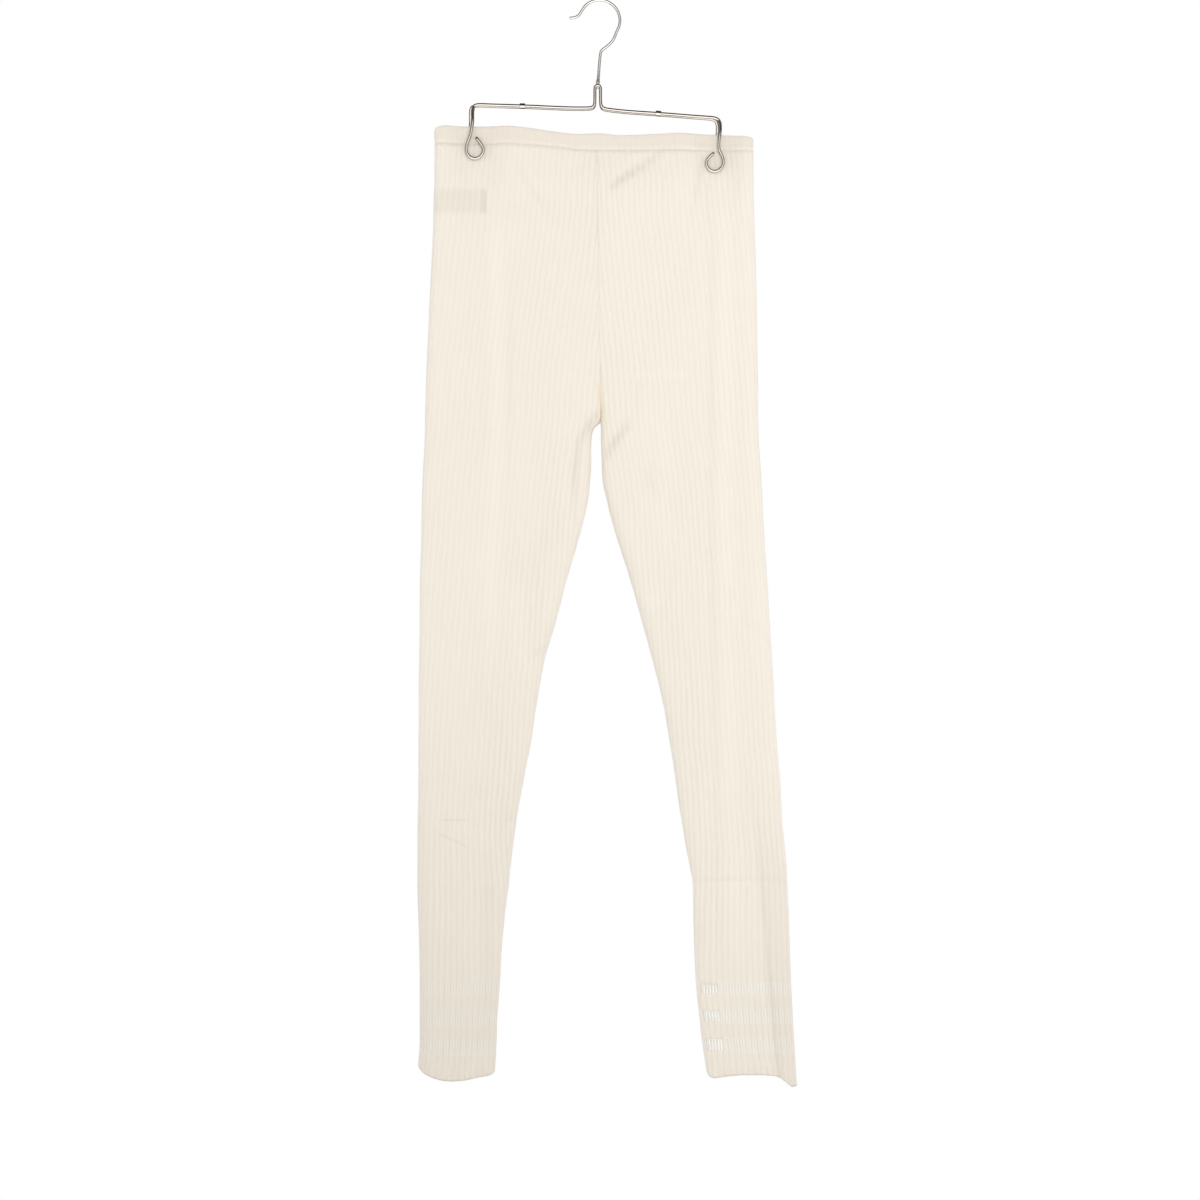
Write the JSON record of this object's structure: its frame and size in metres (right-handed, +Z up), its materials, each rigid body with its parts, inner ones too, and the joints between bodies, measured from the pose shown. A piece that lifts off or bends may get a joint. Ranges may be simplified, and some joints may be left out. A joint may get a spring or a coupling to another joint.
{
  "type": "ribbed knit leggings on a wire clip hanger",
  "caption": "Full-length ribbed knit leggings with a casing waistband, clipped by the waist to a chrome wire trouser hanger.",
  "frame": {"origin": "the inside top of the hanger's hook, where a rail or peg bears", "axes": "+Z up, -Y out of the shown side, taken as the front, and +X towards the wearer's left leg"},
  "size_m": [0.3791, 0.0319, 1.0869],
  "materials": {
    "rib_knit": "matt wide rib knit",
    "label_cloth": "smooth woven tape",
    "chrome_wire": "bright plated"
  },
  "bodies": {
    "root": {"front_right": "rib_knit", "front_left": "rib_knit", "back_right": "rib_knit", "back_left": "rib_knit", "waistband": "rib_knit", "care_label": "label_cloth", "hook": "chrome_wire", "frame_wire_front": "chrome_wire", "frame_wire_back": "chrome_wire", "slide_ring_right": "chrome_wire", "slide_ring_left": "chrome_wire"}
  },
  "joints": []
}
